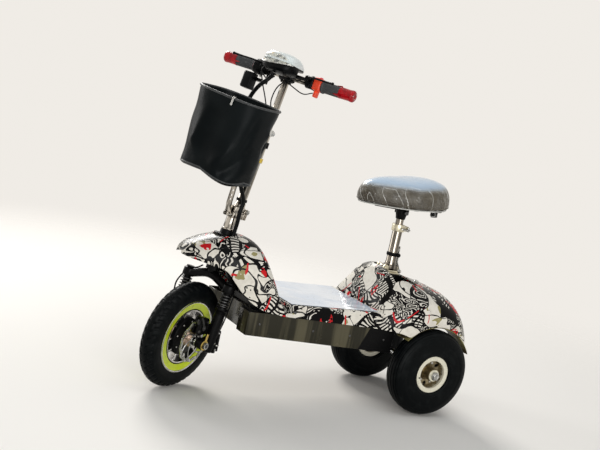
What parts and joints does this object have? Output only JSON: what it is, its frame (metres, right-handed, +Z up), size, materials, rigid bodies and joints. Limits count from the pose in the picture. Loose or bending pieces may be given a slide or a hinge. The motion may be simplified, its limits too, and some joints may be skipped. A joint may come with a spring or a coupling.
{
  "type": "electric scooter",
  "caption": "Three-wheeled electric scooter with seat: folding stem with handlebar and cloth bag, front hub-motor wheel on a short-travel fork, deck over the battery box, folding saddle post.",
  "frame": {"origin": "on the ground under the middle of the scooter's bounding box", "axes": "+X forward along the deck, +Y to the rider's left, +Z up"},
  "size_m": [1.0622, 0.462, 1.0036],
  "materials": {
    "frame_paint": "gloss black",
    "tray_paint": "gloss olive black",
    "cover_print": "printed gloss, black on cream with red",
    "film": "glossy protective film",
    "liner": "satin olive",
    "tyre": "black rubber",
    "rim_cream": "cream paint",
    "rim_lime": "lime lacquer",
    "chrome": "polished",
    "steel": "zinc plated",
    "black_plastic": "satin black",
    "lever_paint": "satin black",
    "cable_sleeve": "black sleeve",
    "grip": "dark grey rubber",
    "orange": "orange moulding",
    "red": "red moulding",
    "saddle": "dark grey vinyl",
    "lens": "clear",
    "bag": "coated black cloth",
    "battery": "shrink wrap",
    "alloy": "bare alloy"
  },
  "bodies": {
    "chassis": {"main_frame": "frame_paint", "head_bushing": "steel", "battery_tray": "tray_paint", "battery_pack": "battery", "motor_controller": "alloy", "deck_panel": "cover_print", "deck_film": "film", "front_cover": "cover_print", "rear_cover": "cover_print", "wheel_arch_left": "liner", "wheel_arch_right": "liner", "rear_axle": "steel", "rear_nut_left": "steel", "rear_nut_right": "steel", "seat_hinge_base": "chrome"},
    "rear_wheel_left": {"rear_rim_left": "rim_cream", "rear_tyre_left": "tyre"},
    "rear_wheel_right": {"rear_rim_right": "rim_cream", "rear_tyre_right": "tyre"},
    "seat_latch": {"seat_latch_lever": "chrome"},
    "seat_frame": {"seat_tube": "chrome", "seat_collar": "steel"},
    "seat_quick_lever": {"seat_collar_lever": "chrome"},
    "saddle": {"seat_post": "chrome", "saddle_clamp": "frame_paint", "saddle_rails": "steel", "saddle_pan": "black_plastic", "saddle_cushion": "saddle"},
    "steering": {"fork_crown": "frame_paint", "steering_plug": "black_plastic", "stem_hinge_base": "chrome", "loom_lower": "cable_sleeve", "fork_spring_left": "frame_paint", "fork_spring_right": "frame_paint"},
    "fork_lower": {"fork_leg_left": "frame_paint", "fork_leg_right": "frame_paint", "front_axle": "steel", "brake_caliper": "frame_paint"},
    "caliper_lever": {"caliper_arm": "steel"},
    "front_wheel": {"front_rim": "rim_lime", "front_tyre": "tyre", "brake_disc": "steel"},
    "stem_latch": {"stem_latch_lever": "chrome"},
    "stem": {"stem_tube": "chrome", "height_collar": "steel", "basket_bracket": "frame_paint", "basket_bag": "bag", "loom_upper": "cable_sleeve"},
    "handlebars": {"riser_tube": "chrome", "handlebar": "chrome", "grip_left": "grip", "switch_pod": "orange", "throttle_housing": "black_plastic", "headlight_housing": "black_plastic", "headlight_lens": "lens", "horn_box": "black_plastic"},
    "throttle": {"throttle_grip": "grip"},
    "horn_push": {"horn_button": "red"},
    "brake_left": {"brake_lever_left": "lever_paint"},
    "brake_right": {"brake_lever_right": "lever_paint"}
  },
  "joints": [
    {"name": "steering", "type": "hinge", "parent": "chassis", "child": "steering", "pos_m": [0.30092, 0, 0.47], "axis": [-0.1736, 0, 0.9848], "range_deg": [-75, 15]},
    {"name": "fork_travel", "type": "slide", "parent": "steering", "child": "fork_lower", "axis": [-0.1736, 0, 0.9848], "range_m": [0, 0.014], "stiffness_N_per_m": 20000, "springref_m": -0.008, "deforming": ["fork_spring_left", "fork_spring_right"]},
    {"name": "front_wheel_spin", "type": "hinge", "parent": "fork_lower", "child": "front_wheel", "pos_m": [0.38928, 0.019, 0.15841], "axis": [-0.4924, 0.866, -0.0868], "continuous": true},
    {"name": "caliper_squeeze", "type": "hinge", "parent": "fork_lower", "child": "caliper_lever", "pos_m": [0.34812, 0.07789, 0.19603], "axis": [-0.4924, 0.866, -0.0868], "range_deg": [0, 18], "stiffness_Nm_per_rad": 0.1, "springref_deg": -5.73},
    {"name": "stem_latch_swing", "type": "hinge", "parent": "steering", "child": "stem_latch", "pos_m": [0.31782, 0.015, 0.52375], "axis": [-0.4924, 0.866, -0.0868], "range_deg": [0, 100]},
    {"name": "stem_fold", "type": "hinge", "parent": "steering", "child": "stem", "pos_m": [0.25824, -0.018, 0.53254], "axis": [0.4924, -0.866, 0.0868], "range_deg": [0, 40]},
    {"name": "bar_height", "type": "slide", "parent": "stem", "child": "handlebars", "axis": [-0.1736, 0, 0.9848], "range_m": [0, 0.06]},
    {"name": "throttle_twist", "type": "hinge", "parent": "handlebars", "child": "throttle", "pos_m": [0.20199, -0.009, 0.94128], "axis": [0.4924, -0.866, 0.0868], "range_deg": [0, 60], "stiffness_Nm_per_rad": 0.15, "springref_deg": -5.73},
    {"name": "horn_press", "type": "slide", "parent": "handlebars", "child": "horn_push", "axis": [0.1736, 0, -0.9848], "range_m": [0, 0.002], "stiffness_N_per_m": 400, "springref_m": -0.0005},
    {"name": "brake_left_pull", "type": "hinge", "parent": "handlebars", "child": "brake_left", "pos_m": [0.1832, 0.07005, 0.93797], "axis": [-0.1736, 0, 0.9848], "range_deg": [0, 12], "stiffness_Nm_per_rad": 1.5, "springref_deg": -5.73},
    {"name": "brake_right_pull", "type": "hinge", "parent": "handlebars", "child": "brake_right", "pos_m": [0.26002, -0.06505, 0.95151], "axis": [0.1736, 0, -0.9848], "range_deg": [0, 12], "stiffness_Nm_per_rad": 1.5, "springref_deg": -5.73},
    {"name": "rear_left_spin", "type": "hinge", "parent": "chassis", "child": "rear_wheel_left", "pos_m": [-0.38908, 0.175, 0.1365], "axis": [0, 1, 0], "continuous": true},
    {"name": "rear_right_spin", "type": "hinge", "parent": "chassis", "child": "rear_wheel_right", "pos_m": [-0.38908, -0.175, 0.1365], "axis": [0, 1, 0], "continuous": true},
    {"name": "seat_fold", "type": "hinge", "parent": "chassis", "child": "seat_frame", "pos_m": [-0.26308, 0, 0.418], "axis": [0, 1, 0], "range_deg": [0, 75]},
    {"name": "seat_latch_swing", "type": "hinge", "parent": "chassis", "child": "seat_latch", "pos_m": [-0.32508, 0, 0.41], "axis": [0, -1, 0], "range_deg": [0, 90]},
    {"name": "seat_height", "type": "slide", "parent": "seat_frame", "child": "saddle", "axis": [0, 0, 1], "range_m": [-0.015, 0.05]},
    {"name": "seat_collar_release", "type": "hinge", "parent": "seat_frame", "child": "seat_quick_lever", "pos_m": [-0.32008, 0.0125, 0.547], "axis": [0, 0, 1], "range_deg": [0, 90]}
  ],
  "couplings": [
    {"joint": "caliper_squeeze", "follows": "brake_left_pull", "ratio": 1.4}
  ]
}
